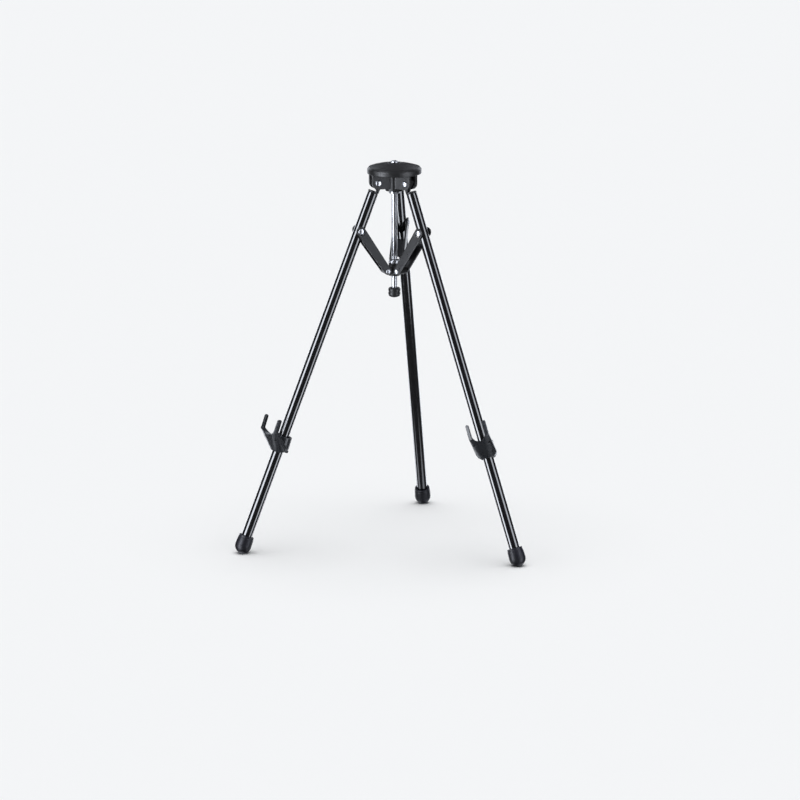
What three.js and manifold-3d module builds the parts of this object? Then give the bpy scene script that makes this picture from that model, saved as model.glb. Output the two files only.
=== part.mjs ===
// Tabletop easel: three tube legs that open like an umbrella from a hub, and two sliding board holders.
// Units are millimetres, +Z is up and the front of the easel faces -Y.
// The origin lies on the table, under the middle of the easel's footprint.
import * as THREE from 'three';
import { mergeVertices } from 'three/addons/utils/BufferGeometryUtils.js';
import Module from 'manifold-3d';

const wasm = await Module();
wasm.setup();

// ---------------------------------------------------------------- driving dimensions
const FOOT_SPACING = 246;
const LEG_LEAN = THREE.MathUtils.degToRad(21.5);
const LEG_AZIMUTH = { left: 210, right: 330, rear: 90 };
const TUBE_RADIUS = 4.75;
const TUBE_WALL = 0.85;

// The gap between pieces that move past each other, and between pieces that lie face to face.
const GAP = 0.3;
const SEAT_GAP = 0.1;
// How far a cutting shape runs past the face that it cuts, and two joined shapes run into each other.
const PAST = 1;
const CROSS_CUT = 8;

const FOOT_RADIUS = 7.3;
const FOOT_FLAT_DEPTH = 0.4;

const HUB_PIVOT_RADIUS = 16.5;
const STRETCHER_LENGTH = 45;
const STRETCHER_JOINT_ON_LEG = 45;
const RUNNER_PIVOT_RADIUS = 7.8;
const POST_RADIUS = 2.5;

const HOLDER_HEIGHT_ON_LEG = { left: 91.3, right: 92.7 };
const HOLDER_TURN_OUTWARD = { left: 27, right: 6 };
const HOLDER_TIP_FORWARD = { left: 5, right: -5 };

const LARGE_ROUND = 36;
const ROUND = 24;
const SMALL_ROUND = 12;

// ---------------------------------------------------------------- derived sizes
const FOOT_CIRCLE = FOOT_SPACING / Math.sqrt(3);
const FOOT_CENTRE_HEIGHT = FOOT_RADIUS - FOOT_FLAT_DEPTH;
const LEG_LENGTH = (FOOT_CIRCLE - HUB_PIVOT_RADIUS) / Math.sin(LEG_LEAN);
const HUB_PIVOT_HEIGHT = FOOT_CENTRE_HEIGHT + LEG_LENGTH * Math.cos(LEG_LEAN);
const TRIPOD_SHIFT = -FOOT_CIRCLE / 4;

const LEG_JOINT_RADIUS = HUB_PIVOT_RADIUS + STRETCHER_JOINT_ON_LEG * Math.sin(LEG_LEAN);
const STRETCHER_TILT = Math.asin((LEG_JOINT_RADIUS - RUNNER_PIVOT_RADIUS) / STRETCHER_LENGTH);
const RUNNER_PIVOT_DROP =
  STRETCHER_JOINT_ON_LEG * Math.cos(LEG_LEAN) + STRETCHER_LENGTH * Math.cos(STRETCHER_TILT);

// ---------------------------------------------------------------- materials
const blackPaint = { color: 0x0d0d12, roughness: 0.18, metalness: 0.0 };
const blackRubber = { color: 0x1e1e27, roughness: 0.5, metalness: 0.0 };
const slatePlastic = { color: 0x23262b, roughness: 0.4, metalness: 0.0 };
const blackNylon = { color: 0x1d1d1f, roughness: 0.45, metalness: 0.0 };
const zincSteel = { color: 0x9a9ca0, roughness: 0.35, metalness: 1.0 };

// ---------------------------------------------------------------- geometry helpers
function toSolid(geometry) {
  const bare = geometry.clone();
  bare.deleteAttribute('normal');
  bare.deleteAttribute('uv');
  const merged = mergeVertices(bare, 1e-4);
  return new wasm.Manifold(new wasm.Mesh({
    numProp: 3,
    vertProperties: new Float32Array(merged.attributes.position.array),
    triVerts: new Uint32Array(merged.index.array),
  }));
}

function toGeometry(solid) {
  const mesh = solid.getMesh();
  const geometry = new THREE.BufferGeometry();
  geometry.setAttribute('position', new THREE.BufferAttribute(mesh.vertProperties, 3));
  geometry.setIndex(new THREE.BufferAttribute(mesh.triVerts, 1));
  geometry.computeVertexNormals();
  return geometry;
}

function join(...geometries) {
  return geometries.map(toSolid).reduce((whole, next) => whole.add(next));
}

function cut(solid, ...geometries) {
  return geometries.map(toSolid).reduce((whole, next) => whole.subtract(next), solid);
}

// A solid of revolution about Z from a profile of [radius, height] points, listed from the bottom up
// along the outside.
function lathe(profile, segments = ROUND) {
  const points = profile.map(([radius, height]) => new THREE.Vector2(radius, height));
  return new THREE.LatheGeometry(points, segments).rotateX(Math.PI / 2);
}

function rod(radius, low, high, segments = ROUND) {
  return lathe([[0, low], [radius, low], [radius, high], [0, high]], segments);
}

function ring(inner, outer, low, high, segments = ROUND) {
  return lathe([[inner, low], [outer, low], [outer, high], [inner, high], [inner, low]], segments);
}

function arc(centreRadius, centreHeight, radius, fromDegrees, toDegrees, steps) {
  return Array.from({ length: steps + 1 }, (_, step) => {
    const angle = THREE.MathUtils.degToRad(fromDegrees + (toDegrees - fromDegrees) * step / steps);
    return [centreRadius + radius * Math.cos(angle), centreHeight + radius * Math.sin(angle)];
  });
}

// Points of a rounded end: from the full radius at the height low, in and up to the axis at high.
function quarterRound(radius, low, high, steps) {
  return Array.from({ length: steps + 1 }, (_, step) => {
    const angle = Math.PI / 2 * step / steps;
    return [step < steps ? radius * Math.cos(angle) : 0, low + (high - low) * Math.sin(angle)];
  });
}

function box(x, y, z) {
  return new THREE.BoxGeometry(x[1] - x[0], y[1] - y[0], z[1] - z[0])
    .translate((x[0] + x[1]) / 2, (y[0] + y[1]) / 2, (z[0] + z[1]) / 2);
}

// A plate whose outline is drawn in the X-Z plane, with its thickness along Y.
function plate(shape, yLow, yHigh) {
  return new THREE.ExtrudeGeometry(shape, { depth: yHigh - yLow, bevelEnabled: false, curveSegments: 6 })
    .rotateX(Math.PI / 2)
    .translate(0, yHigh, 0);
}

// A link outline with a round end at (0, 0) and another at (0, length).
function linkShape(length, startRadius, endRadius) {
  const shape = new THREE.Shape();
  const slope = Math.asin((startRadius - endRadius) / length);
  shape.absarc(0, 0, startRadius, Math.PI - slope, 2 * Math.PI + slope, false);
  shape.absarc(0, length, endRadius, slope, Math.PI - slope, false);
  shape.closePath();
  return shape;
}

// A rod along Y that cuts the hole for a pin.
function pinHole(radius, x, z) {
  return rod(radius, -CROSS_CUT, CROSS_CUT, SMALL_ROUND).rotateX(Math.PI / 2).translate(x, 0, z);
}

const RIVET_CROWN_SHARE = 0.8;

// A rivet along Y: a shank with a flat head at each end.
function rivet(shankRadius, headRadius, gripHalf, headHeight) {
  const end = gripHalf + headHeight;
  const crownRadius = headRadius * RIVET_CROWN_SHARE;
  return lathe([
    [0, -end],
    [crownRadius, -end],
    [headRadius, -gripHalf],
    [shankRadius, -gripHalf],
    [shankRadius, gripHalf],
    [headRadius, gripHalf],
    [crownRadius, end],
    [0, end],
  ], SMALL_ROUND).rotateX(Math.PI / 2);
}

function part(name, geometry, material) {
  const mesh = new THREE.Mesh(geometry, new THREE.MeshStandardMaterial(material));
  mesh.name = name;
  return mesh;
}

// ---------------------------------------------------------------- hub
const EAR_GAP_HALF = 2.6;
const EAR_THICKNESS = 3;
const EAR_RADIUS = 5.5;
const HUB_BOSS_RADIUS = 8;
const HUB_BOTTOM = -8;
const FLANGE_LOW = 7;
const FLANGE_TOP = 10;
const FLANGE_RADIUS = 22.2;
const PIN_RADIUS = 1.5;
const HUB_PIN_HEAD_RADIUS = 2.7;
const HUB_PIN_HEAD_HEIGHT = 1;

function hubEar(yLow) {
  const root = POST_RADIUS + GAP + PAST;
  const top = FLANGE_LOW + PAST / 2;
  const shape = new THREE.Shape();
  shape.moveTo(root, -EAR_RADIUS);
  shape.lineTo(HUB_PIVOT_RADIUS, -EAR_RADIUS);
  shape.absarc(HUB_PIVOT_RADIUS, 0, EAR_RADIUS, -Math.PI / 2, 0, false);
  shape.lineTo(HUB_PIVOT_RADIUS + EAR_RADIUS, top);
  shape.lineTo(root, top);
  shape.closePath();
  return plate(shape, yLow, yLow + EAR_THICKNESS);
}

function makeHub() {
  const body = [
    rod(HUB_BOSS_RADIUS, HUB_BOTTOM, FLANGE_LOW + PAST),
    rod(FLANGE_RADIUS, FLANGE_LOW, FLANGE_TOP, LARGE_ROUND),
  ];
  const holes = [rod(POST_RADIUS + GAP, HUB_BOTTOM - PAST, FLANGE_TOP + PAST)];
  for (const azimuth of Object.values(LEG_AZIMUTH)) {
    const turn = THREE.MathUtils.degToRad(azimuth);
    for (const yLow of [EAR_GAP_HALF, -EAR_GAP_HALF - EAR_THICKNESS]) {
      body.push(hubEar(yLow).rotateZ(turn));
    }
    holes.push(pinHole(PIN_RADIUS + GAP, HUB_PIVOT_RADIUS, 0).rotateZ(turn));
  }
  return toGeometry(cut(join(...body), ...holes));
}

const CAP_RADIUS = 24;
const CAP_LOW = 7.5;
const CAP_SHOULDER = 11.5;
const CAP_DOME_EDGE = 22.5;
const CAP_DOME_CURVE = 72;
const CAP_DOME_STEPS = 4;
const CAP_CROWN = 17;
const CAP_WALL = 2.4;
const CAP_BOSS_RADIUS = 5;
const CAP_POCKET_RADIUS = 20;
const CAP_SEAT = FLANGE_TOP + SEAT_GAP;
const SCREW_RADIUS = 1.3;
const SCREW_END = 1.5;
const SCREW_HEAD_RADIUS = 3.4;
const SCREW_HEAD_RIM = 0.8;
const SCREW_HEAD_HEIGHT = 2.1;
const SCREW_SLOT_HALF_LENGTH = 1.8;
const SCREW_SLOT_HALF_WIDTH = 0.4;
const SCREW_SLOT_FLOOR = 1;

function domeHeight(radius, crown) {
  return crown - CAP_DOME_CURVE + Math.sqrt(CAP_DOME_CURVE ** 2 - radius ** 2);
}

function dome(fromRadius, toRadius, crown) {
  return Array.from({ length: CAP_DOME_STEPS + 1 }, (_, step) => {
    const radius = fromRadius + (toRadius - fromRadius) * step / CAP_DOME_STEPS;
    return [radius, domeHeight(radius, crown)];
  });
}

function makeHubCap() {
  const seatTop = domeHeight(CAP_BOSS_RADIUS, CAP_CROWN);
  return lathe([
    [FLANGE_RADIUS + GAP, CAP_LOW],
    [CAP_RADIUS, CAP_LOW],
    [CAP_RADIUS, CAP_SHOULDER],
    ...dome(CAP_DOME_EDGE, CAP_BOSS_RADIUS, CAP_CROWN),
    [SCREW_RADIUS + GAP, seatTop],
    [SCREW_RADIUS + GAP, CAP_SEAT],
    [CAP_BOSS_RADIUS, CAP_SEAT],
    ...dome(CAP_BOSS_RADIUS, CAP_POCKET_RADIUS, CAP_CROWN - CAP_WALL),
    [CAP_POCKET_RADIUS, CAP_SEAT],
    [FLANGE_RADIUS + GAP, CAP_SEAT],
    [FLANGE_RADIUS + GAP, CAP_LOW],
  ], LARGE_ROUND);
}

function makeCapScrew() {
  const seat = domeHeight(CAP_BOSS_RADIUS, CAP_CROWN) + SEAT_GAP;
  const body = lathe([
    [0, SCREW_END],
    [SCREW_RADIUS, SCREW_END],
    [SCREW_RADIUS, seat],
    [SCREW_HEAD_RADIUS, seat],
    ...quarterRound(SCREW_HEAD_RADIUS, seat + SCREW_HEAD_RIM, seat + SCREW_HEAD_HEIGHT, 3),
  ], SMALL_ROUND);
  const long = [-SCREW_SLOT_HALF_LENGTH, SCREW_SLOT_HALF_LENGTH];
  const narrow = [-SCREW_SLOT_HALF_WIDTH, SCREW_SLOT_HALF_WIDTH];
  const depth = [seat + SCREW_SLOT_FLOOR, seat + SCREW_HEAD_HEIGHT + PAST];
  return toGeometry(cut(join(body), box(long, narrow, depth), box(narrow, long, depth)));
}

// ---------------------------------------------------------------- centre post and what is on it
const POST_FLANGE_RADIUS = 4.8;
const POST_FLANGE_THICKNESS = 2;
const POST_BOTTOM = -99;
const POST_TOP = FLANGE_TOP - SEAT_GAP;
const POST_SCREW_HOLE_END = 1;
const STOP_RING_RADIUS = 4.6;
const STOP_RING_HEIGHT = 3;
const KNOB_RADIUS = 5.4;
const KNOB_BELOW_POST = 4.5;
const KNOB_ABOVE_POST_END = 4;
const KNOB_LOW_ROUND = 2.8;
const KNOB_HIGH_ROUND = 1;
const RUNNER_BELOW = 5;
const RUNNER_ABOVE = 6;
const RUNNER_SLEEVE_RADIUS = 5;
const RUNNER_LUG_HALF = 4.7;
const RUNNER_PIN_HEAD_RADIUS = 2.1;
const RUNNER_PIN_HEAD_HEIGHT = 0.8;
const LINK_END_RADIUS = 3.2;
const LINK_PIN_RADIUS = 1.2;

function makePost() {
  const flangeTop = HUB_BOTTOM - GAP;
  const flangeLow = flangeTop - POST_FLANGE_THICKNESS;
  return lathe([
    [0, POST_BOTTOM],
    [POST_RADIUS, POST_BOTTOM],
    [POST_RADIUS, flangeLow],
    [POST_FLANGE_RADIUS, flangeLow],
    [POST_FLANGE_RADIUS, flangeTop],
    [POST_RADIUS, flangeTop],
    [POST_RADIUS, POST_TOP],
    [SCREW_RADIUS + GAP, POST_TOP],
    [SCREW_RADIUS + GAP, POST_SCREW_HOLE_END],
    [0, POST_SCREW_HOLE_END],
  ]);
}

function makePostStopRing() {
  const low = RUNNER_ABOVE + GAP - RUNNER_PIVOT_DROP;
  return ring(POST_RADIUS + GAP, STOP_RING_RADIUS, low, low + STOP_RING_HEIGHT);
}

function makePostEndKnob() {
  const low = POST_BOTTOM - KNOB_BELOW_POST;
  const top = POST_BOTTOM + KNOB_ABOVE_POST_END;
  return lathe([
    [0, low],
    ...arc(KNOB_RADIUS - KNOB_LOW_ROUND, low + KNOB_LOW_ROUND, KNOB_LOW_ROUND, -90, 0, 3),
    ...arc(KNOB_RADIUS - KNOB_HIGH_ROUND, top - KNOB_HIGH_ROUND, KNOB_HIGH_ROUND, 0, 90, 2),
    [POST_RADIUS + GAP, top],
    [POST_RADIUS + GAP, POST_BOTTOM - GAP],
    [0, POST_BOTTOM - GAP],
  ]);
}

// The runner slides on the post. Its origin is at the height of its three pivots.
function makeRunner() {
  const body = [rod(RUNNER_SLEEVE_RADIUS, -RUNNER_BELOW, RUNNER_ABOVE)];
  const holes = [rod(POST_RADIUS + GAP, -RUNNER_BELOW - PAST, RUNNER_ABOVE + PAST)];
  for (const azimuth of Object.values(LEG_AZIMUTH)) {
    const turn = THREE.MathUtils.degToRad(azimuth);
    const lug = new THREE.Shape();
    lug.moveTo(0, -LINK_END_RADIUS);
    lug.lineTo(RUNNER_PIVOT_RADIUS, -LINK_END_RADIUS);
    lug.absarc(RUNNER_PIVOT_RADIUS, 0, LINK_END_RADIUS, -Math.PI / 2, Math.PI / 2, false);
    lug.lineTo(0, LINK_END_RADIUS);
    lug.closePath();
    body.push(plate(lug, -RUNNER_LUG_HALF, RUNNER_LUG_HALF).rotateZ(turn));
    holes.push(pinHole(LINK_PIN_RADIUS + GAP, RUNNER_PIVOT_RADIUS, 0).rotateZ(turn));
  }
  return toGeometry(cut(join(...body), ...holes));
}

// ---------------------------------------------------------------- stretchers
const ARM_INNER = 5.05;
const ARM_THICKNESS = 1.45;
const ARM_OUTER = ARM_INNER + ARM_THICKNESS;
const ARM_OUTER_END_RADIUS = 4.3;
const SLOT_TRAVEL = 1.7;
const SLOT_RADIUS = 2.3;
const WEB_BACK = -3.2;
const WEB_FRONT = -1.8;
const WEB_START = 10;
const WEB_END = STRETCHER_LENGTH - 18;

// A pressed channel: two arms that straddle the runner's lug and the leg tube, joined by a web.
// The inner pivot is at the origin and the leg's rivet at (0, 0, STRETCHER_LENGTH), in a short slot.
function makeStretcher() {
  const outline = linkShape(STRETCHER_LENGTH, LINK_END_RADIUS, ARM_OUTER_END_RADIUS);
  const slot = linkShape(SLOT_TRAVEL, SLOT_RADIUS, SLOT_RADIUS);
  const body = join(
    plate(outline, ARM_INNER, ARM_OUTER),
    plate(outline, -ARM_OUTER, -ARM_INNER),
    box([WEB_BACK, WEB_FRONT], [-ARM_INNER - PAST, ARM_INNER + PAST], [WEB_START, WEB_END]),
  );
  return toGeometry(cut(
    body,
    plate(slot, -CROSS_CUT, CROSS_CUT).translate(0, 0, STRETCHER_LENGTH - SLOT_TRAVEL),
    pinHole(LINK_PIN_RADIUS + GAP, 0, 0),
  ));
}

// ---------------------------------------------------------------- leg: tube, plug, rubber foot
const TUBE_TOP = LEG_LENGTH - 9.5;
const TUBE_BOTTOM = 1;
const LEG_RIVET_HEAD_RADIUS = 2.6;
const LEG_RIVET_HEAD_HEIGHT = 0.9;
const PLUG_DEPTH = 14;
const PLUG_SHOULDER = 1.5;
const TONGUE_HALF = 2.3;
const TONGUE_RADIUS = 4.5;
const FOOT_DRAFT_RADIUS = 7.15;
const FOOT_DRAFT_HEIGHT = 4.1;
const FOOT_RIM_RADIUS = 6.75;
const FOOT_RIM_HEIGHT = 9.2;
const FOOT_RIM_ROUND = 0.5;

function makeTube() {
  const tube = ring(TUBE_RADIUS - TUBE_WALL, TUBE_RADIUS, TUBE_BOTTOM, TUBE_TOP);
  const rivetHole = pinHole(PIN_RADIUS + GAP, 0, LEG_LENGTH - STRETCHER_JOINT_ON_LEG);
  return toGeometry(cut(join(tube), rivetHole));
}

function makePlug() {
  const shoulderLow = TUBE_TOP + GAP;
  const shoulderTop = shoulderLow + PLUG_SHOULDER;
  const tongue = new THREE.Shape();
  tongue.moveTo(TONGUE_RADIUS, shoulderTop - PAST);
  tongue.absarc(0, LEG_LENGTH, TONGUE_RADIUS, 0, Math.PI, false);
  tongue.lineTo(-TONGUE_RADIUS, shoulderTop - PAST);
  tongue.closePath();
  const body = join(
    rod(TUBE_RADIUS - TUBE_WALL - GAP, TUBE_TOP - PLUG_DEPTH, shoulderLow + PAST),
    rod(TUBE_RADIUS, shoulderLow, shoulderTop),
    plate(tongue, -TONGUE_HALF, TONGUE_HALF),
  );
  return toGeometry(cut(body, pinHole(PIN_RADIUS + GAP, 0, LEG_LENGTH)));
}

function makeFoot() {
  const bore = TUBE_RADIUS + GAP;
  const cup = lathe([
    ...arc(0, 0, FOOT_RADIUS, -90, 0, 6),
    [FOOT_DRAFT_RADIUS, FOOT_DRAFT_HEIGHT],
    [FOOT_RIM_RADIUS, FOOT_RIM_HEIGHT - FOOT_RIM_ROUND],
    [FOOT_RIM_RADIUS - FOOT_RIM_ROUND, FOOT_RIM_HEIGHT],
    [bore, FOOT_RIM_HEIGHT],
    [bore, TUBE_BOTTOM - GAP],
    [0, TUBE_BOTTOM - GAP],
  ]);
  const across = [-3 * FOOT_RADIUS, 3 * FOOT_RADIUS];
  const belowTable = box(across, across, [-3 * FOOT_RADIUS, -FOOT_CENTRE_HEIGHT]).rotateY(LEG_LEAN);
  return toGeometry(cut(join(cup), belowTable));
}

// ---------------------------------------------------------------- board holder
const SLEEVE_LOW = 0.6;
const SLEEVE_LOW_RADIUS = 7.3;
const SLEEVE_TOP = 13;
const SLEEVE_BORE = 6.7;
const SLEEVE_RADIUS = 8.2;
const SLEEVE_FLARE = 2;
const SLEEVE_TIP_HEIGHT = SLEEVE_TOP / 2;
const GRIP_RADIUS = 5.9;
const GRIP_LOW = 1;
const GRIP_TOP = 12.6;
const THROAT_LOW = -2;
const THROAT_LOW_RADIUS = 7.2;
const THROAT_HIGH = 2;
const KINK_REACH = 24;
const KINK_RISE = 16.1;
const KINK_OVERLAP = 0.05;
const FACE_HALF_WIDTH = 9.1;
const FACE_BULGE = 2.2;
const FACE_THICKNESS = 2.6;
const FACE_CORNER_RADIUS = 6;
const FACE_ARC_SEGMENTS = 96;
const NOTCH_HALF_WIDTH = 6.1;
const NOTCH_BOTTOM = 12.7;
const PRONG_TOP = 29.2;
const PRONG_TIP_RADIUS = 1.4;
const DIMPLE_RADIUS = 1;
const DIMPLE_SIDE = 6.6;
const DIMPLE_HEIGHT = 11.6;
const DIMPLE_DEPTH = 1.4;
const BEYOND = 60;

// A bar with a flat back and a face that bulges forward. Its Z runs along the bar, its X is the face's
// outward normal, and the face's two side edges lie at X = 0.
function bulgedBar() {
  const radius = (FACE_HALF_WIDTH ** 2 + FACE_BULGE ** 2) / (2 * FACE_BULGE);
  return cut(
    join(rod(radius, -BEYOND, BEYOND, FACE_ARC_SEGMENTS).translate(FACE_BULGE - radius, 0, 0)),
    box([-BEYOND, -FACE_THICKNESS], [-BEYOND, BEYOND], [-BEYOND - PAST, BEYOND + PAST]),
  );
}

// The outline of the ramp and the two prongs, seen from the front.
function faceOutline() {
  const corner = FACE_CORNER_RADIUS;
  const cornerSide = FACE_HALF_WIDTH - corner;
  const prongSide = FACE_HALF_WIDTH - PRONG_TIP_RADIUS;
  const tip = PRONG_TOP - PRONG_TIP_RADIUS;
  const notchCentre = NOTCH_BOTTOM + NOTCH_HALF_WIDTH;
  const shape = new THREE.Shape();
  shape.moveTo(-cornerSide, THROAT_LOW);
  shape.absarc(cornerSide, THROAT_LOW + corner, corner, -Math.PI / 2, 0, false);
  shape.absarc(prongSide, tip, PRONG_TIP_RADIUS, 0, Math.PI, false);
  shape.absarc(0, notchCentre, NOTCH_HALF_WIDTH, 0, -Math.PI, true);
  shape.absarc(-prongSide, tip, PRONG_TIP_RADIUS, 0, Math.PI, false);
  shape.absarc(-cornerSide, THROAT_LOW + corner, corner, Math.PI, 1.5 * Math.PI, false);
  shape.closePath();
  return new THREE.ExtrudeGeometry(shape, { depth: BEYOND, bevelEnabled: false, curveSegments: 8 })
    .rotateX(Math.PI / 2)
    .rotateZ(Math.PI / 2)
    .translate(-BEYOND / 3, 0, 0);
}

// The holder's origin is on the leg's axis near the foot of its sleeve, +X is forward and +Z up the leg.
// A throat round the leg opens into a ramp that leans forward, and two prongs stand up from the ramp's end.
function makeHolder() {
  const lean = Math.atan2(KINK_REACH, KINK_RISE);
  const mitre = [Math.sin(lean / 2), 0, Math.cos(lean / 2)];
  const mitreOffset = KINK_REACH * mitre[0] + KINK_RISE * mitre[2];
  const belowMitre = mitre.map((value) => -value);
  const ramp = bulgedBar()
    .rotate([0, THREE.MathUtils.radToDeg(lean), 0])
    .trimByPlane(belowMitre, -mitreOffset);
  const riser = bulgedBar()
    .translate([KINK_REACH, 0, 0])
    .trimByPlane(mitre, mitreOffset - KINK_OVERLAP);
  const outline = toSolid(faceOutline());
  const throat = toSolid(lathe([
    [0, THROAT_LOW],
    [THROAT_LOW_RADIUS, THROAT_LOW],
    [SLEEVE_RADIUS, 0],
    [SLEEVE_RADIUS, THROAT_HIGH],
    [0, THROAT_HIGH],
  ]));
  const rampEnd = ramp.intersect(outline).trimByPlane(mitre, mitreOffset - PAST);
  const funnel = wasm.Manifold.hull([throat, rampEnd])
    .trimByPlane([Math.cos(lean), 0, -Math.sin(lean)], -FACE_THICKNESS);
  const face = ramp.add(funnel).add(riser).intersect(outline);
  const sleeve = toSolid(lathe([
    [0, SLEEVE_LOW],
    [SLEEVE_LOW_RADIUS, SLEEVE_LOW],
    [SLEEVE_RADIUS, SLEEVE_LOW + SLEEVE_FLARE],
    [SLEEVE_RADIUS, SLEEVE_TOP],
    [0, SLEEVE_TOP],
  ]));
  const dimples = [-DIMPLE_SIDE, DIMPLE_SIDE].map((side) => {
    const along = DIMPLE_HEIGHT / Math.cos(lean);
    return rod(DIMPLE_RADIUS, -DIMPLE_DEPTH, BEYOND, SMALL_ROUND)
      .rotateY(Math.PI / 2)
      .translate(0, side, along)
      .rotateY(lean);
  });
  return toGeometry(cut(face.add(sleeve), rod(SLEEVE_BORE, -BEYOND, BEYOND), ...dimples));
}

function makeHolderGrip() {
  return ring(TUBE_RADIUS + GAP, GRIP_RADIUS, GRIP_LOW, GRIP_TOP);
}

// The turn about a front leg that makes a holder face the front, with the holder's outward turn added.
function holderTurn(side) {
  const azimuth = THREE.MathUtils.degToRad(LEG_AZIMUTH[side]);
  const radial = -Math.sin(azimuth) * Math.cos(LEG_LEAN);
  const tangential = -Math.cos(azimuth);
  const outward = THREE.MathUtils.degToRad(HOLDER_TURN_OUTWARD[side]);
  return Math.atan2(tangential, radial) - Math.sign(tangential) * outward;
}

// ---------------------------------------------------------------- assembly
const group = new THREE.Group();
const tripod = new THREE.Group();
tripod.position.y = TRIPOD_SHIFT;
group.add(tripod);

const head = new THREE.Group();
head.position.z = HUB_PIVOT_HEIGHT;
tripod.add(head);
head.add(
  part('hub', makeHub(), blackNylon),
  part('hub_cap', makeHubCap(), blackNylon),
  part('cap_screw', makeCapScrew(), zincSteel),
  part('centre_post', makePost(), zincSteel),
  part('post_stop_ring', makePostStopRing(), zincSteel),
  part('post_end_knob', makePostEndKnob(), blackNylon),
);

const runner = part('runner', makeRunner(), blackNylon);
runner.position.z = -RUNNER_PIVOT_DROP;
head.add(runner);

for (const [side, azimuth] of Object.entries(LEG_AZIMUTH)) {
  const sector = new THREE.Group();
  sector.rotation.z = THREE.MathUtils.degToRad(azimuth);
  tripod.add(sector);

  const leg = new THREE.Group();
  leg.position.set(FOOT_CIRCLE, 0, FOOT_CENTRE_HEIGHT);
  leg.rotation.y = -LEG_LEAN;
  sector.add(leg);
  leg.add(
    part(`leg_tube_${side}`, makeTube(), blackPaint),
    part(`leg_plug_${side}`, makePlug(), blackNylon),
    part(`foot_${side}`, makeFoot(), blackRubber),
  );
  const linkGrip = ARM_OUTER + 2 * SEAT_GAP;
  const legRivet = part(
    `leg_rivet_${side}`,
    rivet(PIN_RADIUS, LEG_RIVET_HEAD_RADIUS, linkGrip, LEG_RIVET_HEAD_HEIGHT),
    zincSteel,
  );
  legRivet.position.z = LEG_LENGTH - STRETCHER_JOINT_ON_LEG;
  leg.add(legRivet);

  const earGrip = EAR_GAP_HALF + EAR_THICKNESS + SEAT_GAP;
  const hubPin = part(
    `hub_pin_${side}`,
    rivet(PIN_RADIUS, HUB_PIN_HEAD_RADIUS, earGrip, HUB_PIN_HEAD_HEIGHT),
    zincSteel,
  );
  hubPin.position.set(HUB_PIVOT_RADIUS, 0, HUB_PIVOT_HEIGHT);
  const runnerPin = part(
    `runner_pin_${side}`,
    rivet(LINK_PIN_RADIUS, RUNNER_PIN_HEAD_RADIUS, linkGrip, RUNNER_PIN_HEAD_HEIGHT),
    zincSteel,
  );
  runnerPin.position.set(RUNNER_PIVOT_RADIUS, 0, HUB_PIVOT_HEIGHT - RUNNER_PIVOT_DROP);
  const stretcher = part(`stretcher_${side}`, makeStretcher(), blackPaint);
  stretcher.position.copy(runnerPin.position);
  stretcher.rotation.y = STRETCHER_TILT;
  sector.add(hubPin, runnerPin, stretcher);

  if (side in HOLDER_HEIGHT_ON_LEG) {
    const holder = new THREE.Group();
    holder.position.z = HOLDER_HEIGHT_ON_LEG[side];
    holder.rotation.z = holderTurn(side);
    const tipped = new THREE.Group();
    tipped.position.z = SLEEVE_TIP_HEIGHT;
    tipped.rotation.y = THREE.MathUtils.degToRad(HOLDER_TIP_FORWARD[side]);
    const frame = part(`holder_${side}`, makeHolder(), slatePlastic);
    frame.position.z = -SLEEVE_TIP_HEIGHT;
    tipped.add(frame);
    holder.add(tipped, part(`holder_grip_${side}`, makeHolderGrip(), blackRubber));
    leg.add(holder);
  }
}

export default group;
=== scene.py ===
"""The looks of a folding tabletop easel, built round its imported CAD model. Units are metres."""
from math import asin, cos, pi, radians, sin, sqrt, tan

import bmesh
import bpy
from mathutils import Matrix, Vector


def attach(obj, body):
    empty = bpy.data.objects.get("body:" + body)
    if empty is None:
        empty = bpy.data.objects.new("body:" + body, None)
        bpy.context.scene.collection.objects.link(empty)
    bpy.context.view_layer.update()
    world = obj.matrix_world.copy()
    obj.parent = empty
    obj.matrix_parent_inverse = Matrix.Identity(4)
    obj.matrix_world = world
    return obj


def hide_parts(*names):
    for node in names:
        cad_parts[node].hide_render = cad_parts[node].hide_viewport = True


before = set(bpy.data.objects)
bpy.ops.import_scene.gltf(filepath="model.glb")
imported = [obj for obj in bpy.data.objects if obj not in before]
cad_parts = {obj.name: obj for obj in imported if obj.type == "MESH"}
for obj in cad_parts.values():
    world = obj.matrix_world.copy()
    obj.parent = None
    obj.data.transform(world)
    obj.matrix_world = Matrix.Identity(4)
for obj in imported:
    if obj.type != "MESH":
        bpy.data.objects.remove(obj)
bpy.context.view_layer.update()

MM = 0.001
SIDES = ("left", "right", "rear")
FRONT_SIDES = ("left", "right")

# ------------------------------------------------------ sizes repeated from the CAD, in millimetres
FOOT_SPACING = 246.0
LEG_LEAN = radians(21.5)
LEG_AZIMUTH = {"left": 210.0, "right": 330.0, "rear": 90.0}
TUBE_RADIUS = 4.75
TUBE_BORE = 3.9
TUBE_BOTTOM = 1.0
TUBE_SHORT_OF_PIVOT = 9.5
FOOT_RADIUS = 7.3
FOOT_CENTRE_HEIGHT = 6.9
HUB_PIVOT_RADIUS = 16.5
LEG_JOINT_ON_LEG = 45.0
STRETCHER_LENGTH = 45.0
RUNNER_PIVOT_RADIUS = 7.8
GRIP_BORE = 5.05
GRIP_RADIUS = 5.9
CAP_CURVE = 72.0
CAP_CROWN = 17.0
CAP_WALL = 2.4

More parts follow.
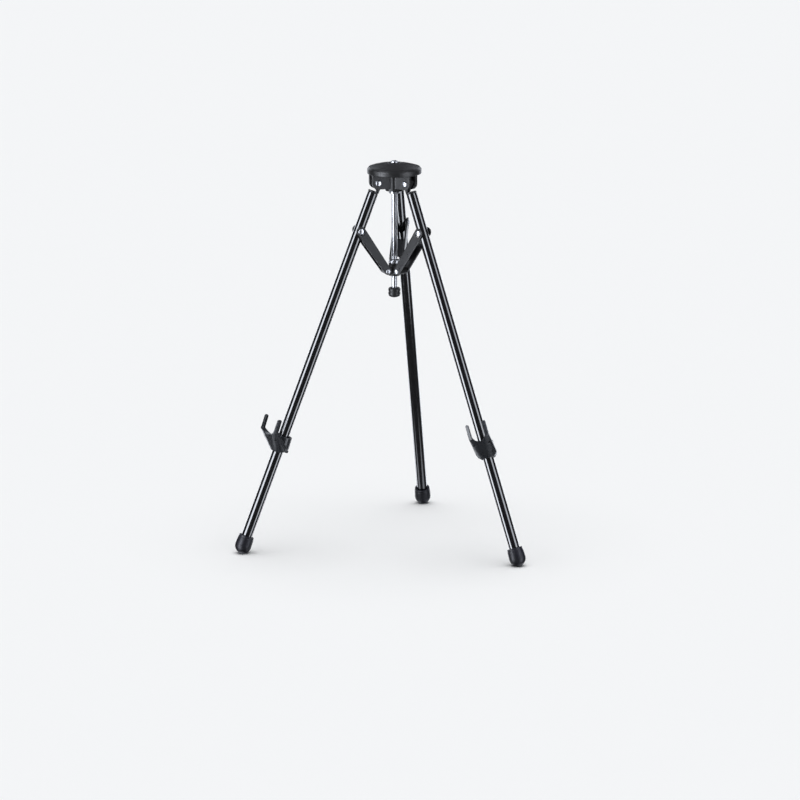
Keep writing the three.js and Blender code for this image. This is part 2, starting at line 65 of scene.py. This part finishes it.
FOOT_CIRCLE = FOOT_SPACING / sqrt(3)
LEG_LENGTH = (FOOT_CIRCLE - HUB_PIVOT_RADIUS) / sin(LEG_LEAN)
HUB_PIVOT_HEIGHT = FOOT_CENTRE_HEIGHT + LEG_LENGTH * cos(LEG_LEAN)
TRIPOD_SHIFT = -FOOT_CIRCLE / 4
TUBE_TOP = LEG_LENGTH - TUBE_SHORT_OF_PIVOT
LEG_JOINT_RADIUS = HUB_PIVOT_RADIUS + LEG_JOINT_ON_LEG * sin(LEG_LEAN)
STRETCHER_TILT = asin((LEG_JOINT_RADIUS - RUNNER_PIVOT_RADIUS) / STRETCHER_LENGTH)
RUNNER_DROP = LEG_JOINT_ON_LEG * cos(LEG_LEAN) + STRETCHER_LENGTH * cos(STRETCHER_TILT)
HOLDER_HEIGHT_ON_LEG = {"left": 91.3, "right": 92.7}

# ------------------------------------------------------ sizes of the looks' own shapes, in millimetres
TUBE_RIM_ROUND = 0.35
TUBE_LIP = 3

FOOT_BORE = TUBE_RADIUS + 0.12
FOOT_ROUND = 0.45
FOOT_MOUTH_HEIGHT = 9.2
FOOT_MOUTH_RADIUS = 6.3
FOOT_MOUTH_BEVEL = 0.25
FOOT_RIM_TOP = 8.9
FOOT_RIM_RADIUS = 6.72
FOOT_FLOOR = 0.7
FOOT_SIDE = [(FOOT_RADIUS, 0.0), (FOOT_RADIUS - 0.05, 2.6), (6.98, 6.9), (FOOT_RIM_RADIUS, 7.25)]
FOOT_SOLE = 0.02

GRIP_LOW = 1.1
GRIP_TOP = 12.5
GRIP_GROOVE = GRIP_RADIUS - 0.25
GRIP_ROUND = 0.25
GRIP_RIBS = (2.2, 5.6, 9.0)
RIB_CREST_START = 0.4
RIB_CREST_END = 2.0
RIB_END = 2.4

HUB_PIN = {"shank": 1.5, "head": 2.7, "grip_half": 5.7, "head_height": 1.0}
LEG_RIVET = {"shank": 1.5, "head": 2.6, "grip_half": 6.7, "head_height": 0.9}
RUNNER_PIN = {"shank": 1.2, "head": 2.1, "grip_half": 6.7, "head_height": 0.8}
PIN_DOME_STEPS = 7

# Heights of the head's pieces are from the hub's pivots.
CAP_RADIUS = 24.0
CAP_LOW = 7.5
CAP_SHOULDER = 11.5
CAP_ROOF = 10.1
CAP_SKIRT_BORE = 22.5
CAP_POCKET_RADIUS = 20.0
CAP_ROUND = 0.7
CAP_OUTSIDE_RADII = (22.5, 19.0, 15.5, 12.0, 8.5)
CAP_INSIDE_RADII = (5.0, 10.0, 15.0, 20.0)
SCREW_BORE = 1.6
SCREW_SEAT_RADIUS = 5.0
GROOVE_DEPTH = 0.4
GROOVE_INNER = 5.3
GROOVE_OUTER = 5.9
GROOVE_LIP = 6.2
POST_ROUND = 0.3
POST_OUTLINE = [
    (0.0, -99.0), (2.5, -99.0), (2.5, -10.3), (4.8, -10.3), (4.8, -8.3),
    (2.5, -8.3), (2.5, 9.9), (SCREW_BORE, 9.9), (SCREW_BORE, 1.0), (0.0, 1.0),
]
RING_BORE = 2.8
RING_RADIUS = 4.6
RING_HEIGHT = 3
RING_ROUND = 0.5
RING_LOW = 6.3 - RUNNER_DROP
KNOB_ROUND = 0.4
KNOB_OUTLINE = [
    (0.0, -103.5), (2.6, -103.5), (4.6, -102.6), (5.4, -100.7), (5.4, -99.2), (5.05, -98.9),
    (5.05, -98.1), (5.4, -97.8), (5.4, -95.9), (4.5, -95.0), (2.8, -95.0), (2.8, -99.3), (0.0, -99.3),
]

# ------------------------------------------------------ how smooth each mesh is
FINE_ROUND = 96
ROUND = 64
FOOT_FACETS = 72
KNOB_FACETS = 72
PIN_FACETS = 40
FILLET_STEPS = 4
GRIP_FILLET_STEPS = 3
CORNER_SHARE = 0.45
NEARLY_STRAIGHT = radians(172)
ON_AXIS = 1e-5
SMOOTH_FACTOR = 0.5
TURNED_EDGE = 35.0
FOOT_EDGE = 40.0
PIN_EDGE = 50.0
MOULDED_EDGE = 60.0

# For each piece that keeps its CAD shape: the remesh cell in millimetres, the smoothing passes, and the
# share of faces that is kept.
HOLDER_REFINE = (0.22, 11, 0.45)
HUB_REFINE = (0.3, 4, 0.35)
RUNNER_REFINE = (0.22, 4, 0.4)
SCREW_REFINE = (0.12, 3, 0.5)
LINK_REFINE = (0.2, 4, 0.4)

# ------------------------------------------------------ camera, lights and floor, in metres
CAMERA_AT = (0.70838, -3.79721, 0.97336)
CAMERA_TURN = 10.59
CAMERA_DOWN = 12.448
CAMERA_LENS = 198.0
CAMERA_SENSOR = 36.0
CAMERA_REACH = 50.0
WORLD_COLOUR = (0.93, 0.95, 1.0)
WORLD_STRENGTH = 0.07
OVERHEAD_STRENGTH = 3.1
OVERHEAD_SPREAD = 70
SOFTBOX_TINT = (0.88, 0.92, 1.0)
SOFTBOX_WIDTH = 0.40
SOFTBOX_LOW = -0.5
SOFTBOX_HIGH = 1.2
# name, bearing in degrees, distance, radiance
SOFTBOXES = (
    ("left_softbox", -54, 0.8, 8.5),
    ("right_softbox", 53, 0.8, 4.0),
    ("back_left_softbox", -151, 0.9, 2.2),
    ("back_right_softbox", 151, 0.9, 2.2),
)
GLOW_HEIGHT = -0.5
GLOW_SIZE = (0.34, 0.8)
GLOW_RADIANCE = 1.3
GLOW_BACK = 0.28
GLOW_SIDE = 0.36
FLOOR_HALF_WIDTH = 9.0
FLOOR_CELLS = 8
FLOOR_COLOUR = (0.86, 0.87, 0.88)
FLOOR_ROUGHNESS = 0.8


def add_camera():
    data = bpy.data.cameras.new("camera")
    data.lens = CAMERA_LENS
    data.sensor_width = CAMERA_SENSOR
    data.clip_end = CAMERA_REACH
    camera = bpy.data.objects.new("camera", data)
    camera.location = CAMERA_AT
    camera.rotation_euler = (radians(90 - CAMERA_DOWN), 0.0, radians(CAMERA_TURN))
    bpy.context.scene.collection.objects.link(camera)
    bpy.context.scene.camera = camera


def add_highlight(name, size, radiance, location, rotation):
    """A rectangular light that is seen in the pieces' gloss alone, so the floor stays even."""
    data = bpy.data.lights.new(name, "AREA")
    data.shape = "RECTANGLE"
    data.size, data.size_y = size
    data.energy = radiance * pi * size[0] * size[1]
    data.color = SOFTBOX_TINT
    light = bpy.data.objects.new(name, data)
    light.location = location
    light.rotation_euler = rotation
    light.visible_camera = False
    light.visible_diffuse = False
    bpy.context.scene.collection.objects.link(light)


def add_softbox(name, bearing, distance, radiance):
    """A tall softbox at a bearing in degrees from the camera's side, positive to its right."""
    angle = radians(CAMERA_TURN + bearing)
    location = (sin(angle) * distance, -cos(angle) * distance, (SOFTBOX_LOW + SOFTBOX_HIGH) / 2)
    size = (SOFTBOX_WIDTH, SOFTBOX_HIGH - SOFTBOX_LOW)
    add_highlight(name, size, radiance, location, (radians(90), 0.0, angle))


def add_table_glow(name, side):
    """Light that comes up from under the table's top, as through glass."""
    location = (side, GLOW_BACK, GLOW_HEIGHT)
    add_highlight(name, GLOW_SIZE, GLOW_RADIANCE, location, (radians(180), 0.0, 0.0))


def add_overhead_light():
    data = bpy.data.lights.new("overhead", "SUN")
    data.energy = OVERHEAD_STRENGTH
    data.angle = radians(OVERHEAD_SPREAD)
    light = bpy.data.objects.new("overhead", data)
    light.visible_glossy = False
    bpy.context.scene.collection.objects.link(light)


def add_world():
    world = bpy.data.worlds.new("studio")
    world.use_nodes = True
    background = world.node_tree.nodes["Background"]
    background.inputs["Color"].default_value = (*WORLD_COLOUR, 1.0)
    background.inputs["Strength"].default_value = WORLD_STRENGTH
    bpy.context.scene.world = world
    bpy.context.scene.view_settings.view_transform = "Standard"


def add_floor():
    mesh = bpy.data.meshes.new("floor")
    made = bmesh.new()
    bmesh.ops.create_grid(made, x_segments=FLOOR_CELLS, y_segments=FLOOR_CELLS, size=FLOOR_HALF_WIDTH)
    made.to_mesh(mesh)
    made.free()
    floor = bpy.data.objects.new("floor", mesh)
    bpy.context.scene.collection.objects.link(floor)
    material = new_material("pale_floor", FLOOR_COLOUR, FLOOR_ROUGHNESS)
    material.node_tree.nodes["Principled BSDF"].inputs["Specular IOR Level"].default_value = 0.0
    mesh.materials.append(material)
    floor.visible_glossy = False
    floor.visible_shadow = False


# ------------------------------------------------------ materials
# The noise values between which a roughness varies.
NOISE_LOW = 0.3
NOISE_HIGH = 0.7


def new_material(name, colour, roughness, metallic=0.0):
    material = bpy.data.materials.new(name)
    material.use_nodes = True
    shader = material.node_tree.nodes["Principled BSDF"]
    shader.inputs["Base Color"].default_value = (*colour, 1.0)
    shader.inputs["Roughness"].default_value = roughness
    shader.inputs["Metallic"].default_value = metallic
    return material


def add_node(material, kind):
    return material.node_tree.nodes.new(kind)


def wire(material, start, out, end, into):
    material.node_tree.links.new(start.outputs[out], end.inputs[into])


def object_noise(material, scale, detail, roughness=0.5, stretch=(1, 1, 1)):
    place = add_node(material, "ShaderNodeTexCoord")
    mapping = add_node(material, "ShaderNodeMapping")
    mapping.inputs["Scale"].default_value = stretch
    noise = add_node(material, "ShaderNodeTexNoise")
    noise.inputs["Scale"].default_value = scale
    noise.inputs["Detail"].default_value = detail
    noise.inputs["Roughness"].default_value = roughness
    wire(material, place, "Object", mapping, "Vector")
    wire(material, mapping, "Vector", noise, "Vector")
    return noise


def vary_colour(material, noise, low, high, dark, light):
    """Colour runs from dark to light as the noise runs from low to high."""
    ramp = add_node(material, "ShaderNodeValToRGB")
    ramp.color_ramp.elements[0].position = low
    ramp.color_ramp.elements[1].position = high
    ramp.color_ramp.elements[0].color = (*dark, 1.0)
    ramp.color_ramp.elements[1].color = (*light, 1.0)
    wire(material, noise, "Fac", ramp, "Fac")
    wire(material, ramp, "Color", material.node_tree.nodes["Principled BSDF"], "Base Color")


def vary_roughness(material, noise, low, high):
    spread = add_node(material, "ShaderNodeMapRange")
    spread.inputs["From Min"].default_value = NOISE_LOW
    spread.inputs["From Max"].default_value = NOISE_HIGH
    spread.inputs["To Min"].default_value = low
    spread.inputs["To Max"].default_value = high
    wire(material, noise, "Fac", spread, "Value")
    wire(material, spread, "Result", material.node_tree.nodes["Principled BSDF"], "Roughness")


def add_bump(material, noises, strength, distance):
    """Bump from one or two noises, added together."""
    source = noises[0]
    out = "Fac"
    if len(noises) > 1:
        both = add_node(material, "ShaderNodeMath")
        both.operation = "ADD"
        wire(material, noises[0], "Fac", both, 0)
        wire(material, noises[1], "Fac", both, 1)
        source, out = both, "Value"
    bump = add_node(material, "ShaderNodeBump")
    bump.inputs["Strength"].default_value = strength
    bump.inputs["Distance"].default_value = distance
    wire(material, source, out, bump, "Height")
    wire(material, bump, "Normal", material.node_tree.nodes["Principled BSDF"], "Normal")


def make_material(name, colour, roughness, clouds, clouds_span, dark, light, grain, grain_span, bumps, bump,
                  metallic=0.0, inputs=None):
    """A material whose colour, roughness and surface each vary with noise.

    clouds, grain and every entry of bumps are what object_noise takes: scale, detail, and where they
    differ from its own, roughness and stretch. bump is the strength, and the distance in metres.
    """
    material = new_material(name, colour, roughness, metallic)
    for key, value in (inputs or {}).items():
        material.node_tree.nodes["Principled BSDF"].inputs[key].default_value = value
    vary_colour(material, object_noise(material, *clouds), *clouds_span, dark, light)
    vary_roughness(material, object_noise(material, *grain), *grain_span)
    add_bump(material, [object_noise(material, *each) for each in bumps], *bump)
    return material


# ------------------------------------------------------ mesh helpers
def fillet(points, radius, steps=FILLET_STEPS):
    """Rounds the inner corners of an open outline of (radius, height) points, in millimetres."""
    out = [Vector(points[0])]
    for before, corner, after in zip(points, points[1:], points[2:]):
        corner, before, after = Vector(corner), Vector(before), Vector(after)
        back, ahead = before - corner, after - corner
        limit = min(back.length, ahead.length) * CORNER_SHARE
        turn = back.angle(ahead)
        if turn > NEARLY_STRAIGHT:
            out.append(corner)
            continue
        reach = min(limit, radius / tan(turn / 2))
        start = corner + back.normalized() * reach
        end = corner + ahead.normalized() * reach
        for step in range(steps + 1):
            t = step / steps
            out.append(start * (1 - t) ** 2 + corner * 2 * t * (1 - t) + end * t * t)
    out.append(Vector(points[-1]))
    return out


def lathe_mesh(name, outline, matrix, segments=ROUND, closed=False):
    """A solid of revolution about Z from an outline of (radius, height) in millimetres."""
    made = bmesh.new()
    rings = []
    for radius, height in outline:
        if radius < ON_AXIS:
            rings.append([made.verts.new((0, 0, height * MM))])
            continue
        ring = []
        for k in range(segments):
            turn = 2 * pi * k / segments
            ring.append(made.verts.new((radius * cos(turn) * MM, radius * sin(turn) * MM, height * MM)))
        rings.append(ring)
    pairs = list(zip(rings, rings[1:]))
    if closed:
        pairs.append((rings[-1], rings[0]))
    for low, high in pairs:
        for k in range(segments):
            j = (k + 1) % segments
            corners = [low[k % len(low)], low[j % len(low)], high[j % len(high)], high[k % len(high)]]
            loop = []
            for corner in corners:
                if corner not in loop:
                    loop.append(corner)
            if len(loop) > 2:
                made.faces.new(loop)
    bmesh.ops.recalc_face_normals(made, faces=made.faces)
    made.transform(matrix)
    mesh = bpy.data.meshes.new(name)
    made.to_mesh(mesh)
    made.free()
    return mesh


def add_piece(name, mesh, material, body, node, sharp=TURNED_EDGE):
    """Adds a mesh that moves with a body and stands for a CAD node. Edges over sharp degrees stay sharp."""
    piece = bpy.data.objects.new(name, mesh)
    bpy.context.scene.collection.objects.link(piece)
    mesh.materials.clear()
    mesh.materials.append(material)
    mesh.shade_smooth()
    mesh.set_sharp_from_angle(angle=radians(sharp))
    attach(piece, body)
    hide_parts(node)
    return piece


def refined_mesh(node, voxel, smoothing, keep):
    """A copy of a CAD node's mesh with its edges rounded over and its facets smoothed away."""
    work = bpy.data.objects.new("work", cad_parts[node].data.copy())
    bpy.context.scene.collection.objects.link(work)
    remesh = work.modifiers.new("remesh", "REMESH")
    remesh.mode = "VOXEL"
    remesh.voxel_size = voxel * MM
    smooth = work.modifiers.new("smooth", "SMOOTH")
    smooth.factor = SMOOTH_FACTOR
    smooth.iterations = smoothing
    fewer = work.modifiers.new("fewer", "DECIMATE")
    fewer.ratio = keep
    graph = bpy.context.evaluated_depsgraph_get()
    mesh = bpy.data.meshes.new_from_object(work.evaluated_get(graph))
    bpy.data.objects.remove(work)
    return mesh


def place(x, y, z):
    return Matrix.Translation((x * MM, y * MM, z * MM))


def turned(degrees, axis):
    return Matrix.Rotation(radians(degrees), 4, axis)


def sector(side):
    return place(0, TRIPOD_SHIFT, 0) @ turned(LEG_AZIMUTH[side], "Z")


def leg(side):
    """The leg's own frame: its origin at the foot's centre and +Z up the tube."""
    return sector(side) @ place(FOOT_CIRCLE, 0, FOOT_CENTRE_HEIGHT) @ Matrix.Rotation(-LEG_LEAN, 4, "Y")


# ------------------------------------------------------ pieces
def build_tube(side, material):
    outline = fillet([
        (TUBE_BORE, TUBE_BOTTOM + TUBE_LIP),
        (TUBE_BORE, TUBE_BOTTOM),
        (TUBE_RADIUS, TUBE_BOTTOM),
        (TUBE_RADIUS, TUBE_TOP),
        (TUBE_BORE, TUBE_TOP),
        (TUBE_BORE, TUBE_TOP - TUBE_LIP),
    ], TUBE_RIM_ROUND)
    mesh = lathe_mesh(f"tube_{side}", outline, leg(side), FINE_ROUND, closed=True)
    add_piece(f"tube_{side}", mesh, material, f"leg_{side}", f"leg_tube_{side}")


def build_foot(side, material):
    """A moulded cup: a round toe, a slight draft to its sides, and a rolled rim round the tube."""
    toe = [(FOOT_RADIUS * sin(radians(a)), -FOOT_RADIUS * cos(radians(a))) for a in range(0, 90, 5)]
    wall = fillet(FOOT_SIDE + [
        (FOOT_RIM_RADIUS, FOOT_RIM_TOP),
        (FOOT_MOUTH_RADIUS, FOOT_MOUTH_HEIGHT),
        (FOOT_BORE + FOOT_MOUTH_BEVEL, FOOT_MOUTH_HEIGHT),
        (FOOT_BORE, FOOT_RIM_TOP),
        (FOOT_BORE, FOOT_FLOOR),
        (0.0, FOOT_FLOOR),
    ], FOOT_ROUND)
    made = bmesh.new()
    made.from_mesh(lathe_mesh(f"foot_{side}", [Vector(p) for p in toe] + wall, leg(side), FOOT_FACETS))
    bmesh.ops.bisect_plane(
        made, geom=made.verts[:] + made.edges[:] + made.faces[:], dist=1e-6,
        plane_co=(0, 0, FOOT_SOLE * MM), plane_no=(0, 0, -1), clear_outer=True,
    )
    bmesh.ops.holes_fill(made, edges=[e for e in made.edges if e.is_boundary])
    mesh = bpy.data.meshes.new(f"foot_{side}")
    made.to_mesh(mesh)
    made.free()
    add_piece(f"rubber_foot_{side}", mesh, material, f"leg_{side}", f"foot_{side}", FOOT_EDGE)


def build_grip(side, material):
    """A rubber sleeve round the leg with three low ribs."""
    outline = [(GRIP_BORE, GRIP_LOW), (GRIP_GROOVE, GRIP_LOW)]
    for rib in GRIP_RIBS:
        outline += [
            (GRIP_GROOVE, rib),
            (GRIP_RADIUS, rib + RIB_CREST_START),
            (GRIP_RADIUS, rib + RIB_CREST_END),
            (GRIP_GROOVE, rib + RIB_END),
        ]
    outline += [(GRIP_GROOVE, GRIP_TOP), (GRIP_BORE, GRIP_TOP)]
    matrix = leg(side) @ place(0, 0, HOLDER_HEIGHT_ON_LEG[side])
    mesh = lathe_mesh(f"grip_{side}", fillet(outline, GRIP_ROUND, GRIP_FILLET_STEPS), matrix, closed=True)
    add_piece(f"grip_sleeve_{side}", mesh, material, f"holder_grip_{side}", f"holder_grip_{side}")


def build_pin(name, node, body, matrix, material, shank, head, grip_half, head_height):
    """A rivet along Y with a domed head at each end."""
    def dome(sign):
        points = []
        for k in range(PIN_DOME_STEPS):
            a = pi / 2 * k / PIN_DOME_STEPS
            points.append((head * cos(a), grip_half * sign + sign * head_height * sin(a)))
        return points + [(0.0, grip_half * sign + sign * head_height)]
    outline = dome(-1)[::-1] + [(shank, -grip_half), (shank, grip_half)] + dome(1)
    mesh = lathe_mesh(name, outline, matrix @ turned(-90, "X"), PIN_FACETS)
    add_piece(name, mesh, material, body, node, PIN_EDGE)


def build_pins(material):
    for side in SIDES:
        at_hub = sector(side) @ place(HUB_PIVOT_RADIUS, 0, HUB_PIVOT_HEIGHT)
        build_pin(f"pivot_pin_{side}", f"hub_pin_{side}", "hub", at_hub, material, **HUB_PIN)
        at_leg = leg(side) @ place(0, 0, LEG_LENGTH - LEG_JOINT_ON_LEG)
        build_pin(f"link_rivet_{side}", f"leg_rivet_{side}", f"leg_{side}", at_leg, material, **LEG_RIVET)
        at_runner = sector(side) @ place(RUNNER_PIVOT_RADIUS, 0, HUB_PIVOT_HEIGHT - RUNNER_DROP)
        build_pin(f"link_pin_{side}", f"runner_pin_{side}", "runner", at_runner, material, **RUNNER_PIN)


def cap_height(radius, crown):
    return crown - CAP_CURVE + sqrt(CAP_CURVE ** 2 - radius ** 2)


def build_cap(head, nylon):
    """A domed cap with a groove round its screw, and a pocket underneath for the hub's flange."""
    seat = cap_height(SCREW_SEAT_RADIUS, CAP_CROWN)
    outside = [(radius, cap_height(radius, CAP_CROWN)) for radius in CAP_OUTSIDE_RADII]
    inside = [(radius, cap_height(radius, CAP_CROWN - CAP_WALL)) for radius in CAP_INSIDE_RADII]
    skirt = [(CAP_SKIRT_BORE, CAP_LOW), (CAP_RADIUS, CAP_LOW), (CAP_RADIUS, CAP_SHOULDER)]
    groove = [
        (GROOVE_LIP, seat),
        (GROOVE_OUTER, seat - GROOVE_DEPTH),
        (GROOVE_INNER, seat - GROOVE_DEPTH),
        (SCREW_SEAT_RADIUS, seat),
    ]
    bore = [(SCREW_BORE, seat), (SCREW_BORE, CAP_ROOF), (SCREW_SEAT_RADIUS, CAP_ROOF)]
    pocket = [(CAP_POCKET_RADIUS, CAP_ROOF), (CAP_SKIRT_BORE, CAP_ROOF)]
    outline = fillet(skirt + outside + groove + bore + inside + pocket, CAP_ROUND)
    mesh = lathe_mesh("top_cap", outline, head, FINE_ROUND, closed=True)
    add_piece("top_cap", mesh, nylon, "hub", "hub_cap")


def build_head(nylon, zinc):
    """The cap, the post and what is on it, each turned about the tripod's axis."""
    head = place(0, TRIPOD_SHIFT, HUB_PIVOT_HEIGHT)
    build_cap(head, nylon)
    post = lathe_mesh("post", fillet(POST_OUTLINE, POST_ROUND), head)
    add_piece("post", post, zinc, "hub", "centre_post")
    top = RING_LOW + RING_HEIGHT
    ring = [(RING_BORE, RING_LOW), (RING_RADIUS, RING_LOW), (RING_RADIUS, top), (RING_BORE, top)]
    stop_ring = lathe_mesh("stop_ring", fillet(ring, RING_ROUND), head, closed=True)
    add_piece("stop_ring", stop_ring, zinc, "hub", "post_stop_ring")
    knob = lathe_mesh("end_knob", fillet(KNOB_OUTLINE, KNOB_ROUND), head, KNOB_FACETS)
    add_piece("end_knob", knob, nylon, "hub", "post_end_knob")


def add_refined(name, node, refine, material, body):
    add_piece(name, refined_mesh(node, *refine), material, body, node, MOULDED_EDGE)


def build_refined(plastic, nylon, satin_paint, zinc):
    """Pieces whose CAD shape is kept, with moulded or pressed edges."""
    for side in FRONT_SIDES:
        holder = f"holder_{side}"
        add_refined(f"board_holder_{side}", holder, HOLDER_REFINE, plastic, holder)
    add_refined("hub_body", "hub", HUB_REFINE, nylon, "hub")
    add_refined("runner_body", "runner", RUNNER_REFINE, nylon, "runner")
    add_refined("screw", "cap_screw", SCREW_REFINE, zinc, "hub")
    for side in SIDES:
        stretcher = f"stretcher_{side}"
        add_refined(f"link_{side}", stretcher, LINK_REFINE, satin_paint, stretcher)
        add_refined(f"leg_end_{side}", f"leg_plug_{side}", LINK_REFINE, nylon, f"leg_{side}")


# ------------------------------------------------------ the scene
add_camera()
add_world()
add_floor()
add_overhead_light()
for softbox in SOFTBOXES:
    add_softbox(*softbox)
add_table_glow("left_glow", -GLOW_SIDE)
add_table_glow("right_glow", GLOW_SIDE)

gloss_paint = make_material(
    "gloss_black_paint", (0.004, 0.004, 0.006), 0.12,
    clouds=(60.0, 4.0), clouds_span=(0.35, 0.7),
    dark=(0.0030, 0.0030, 0.0042), light=(0.0065, 0.0064, 0.0088),
    grain=(420.0, 5.0, 0.6), grain_span=(0.08, 0.2),
    bumps=[(700.0, 2.0)], bump=(0.05, 0.00003),
    inputs={"Coat Weight": 1.0, "Coat Roughness": 0.05, "Specular IOR Level": 0.8},
)
dull_paint = make_material(
    "satin_black_paint", (0.008, 0.009, 0.011), 0.34,
    clouds=(90.0, 4.0), clouds_span=(0.35, 0.7),
    dark=(0.006, 0.0065, 0.008), light=(0.012, 0.013, 0.016),
    grain=(500.0, 5.0, 0.6), grain_span=(0.26, 0.42),
    bumps=[(1500.0, 3.0)], bump=(0.18, 0.00004),
)
rubber = make_material(
    "satin_black_rubber", (0.013, 0.013, 0.02), 0.42,
    clouds=(160.0, 5.0), clouds_span=(0.32, 0.72),
    dark=(0.0085, 0.0088, 0.0145), light=(0.017, 0.0175, 0.028),
    grain=(900.0, 4.0), grain_span=(0.34, 0.5),
    bumps=[(2600.0, 3.0), (500.0, 2.0)], bump=(0.22, 0.00005),
    inputs={"Specular IOR Level": 0.3},
)
holder_plastic = make_material(
    "slate_moulded_plastic", (0.017, 0.019, 0.024), 0.3,
    clouds=(140.0, 5.0), clouds_span=(0.3, 0.72),
    dark=(0.0145, 0.017, 0.022), light=(0.025, 0.0285, 0.0355),
    grain=(700.0, 4.0), grain_span=(0.24, 0.38),
    bumps=[(3200.0, 3.0), (420.0, 2.0)], bump=(0.2, 0.00005),
)
black_nylon = make_material(
    "black_nylon", (0.012, 0.012, 0.0135), 0.42,
    clouds=(120.0, 5.0), clouds_span=(0.3, 0.72),
    dark=(0.0085, 0.0085, 0.0095), light=(0.0165, 0.0165, 0.0185),
    grain=(800.0, 4.0), grain_span=(0.34, 0.5),
    bumps=[(3000.0, 3.0), (380.0, 2.0)], bump=(0.22, 0.00005),
)
zinc_steel = make_material(
    "zinc_plated_steel", (0.56, 0.57, 0.6), 0.3,
    clouds=(200.0, 5.0), clouds_span=(0.3, 0.72),
    dark=(0.47, 0.48, 0.5), light=(0.64, 0.65, 0.68),
    grain=(900.0, 4.0, 0.6, (1, 1, 0.15)), grain_span=(0.22, 0.4),
    bumps=[(2600.0, 3.0, 0.5, (1, 1, 0.1))], bump=(0.12, 0.00003),
    metallic=1.0,
)

for leg_side in SIDES:
    build_tube(leg_side, gloss_paint)
    build_foot(leg_side, rubber)
for leg_side in FRONT_SIDES:
    build_grip(leg_side, rubber)
build_pins(zinc_steel)
build_head(black_nylon, zinc_steel)
build_refined(holder_plastic, black_nylon, dull_paint, zinc_steel)
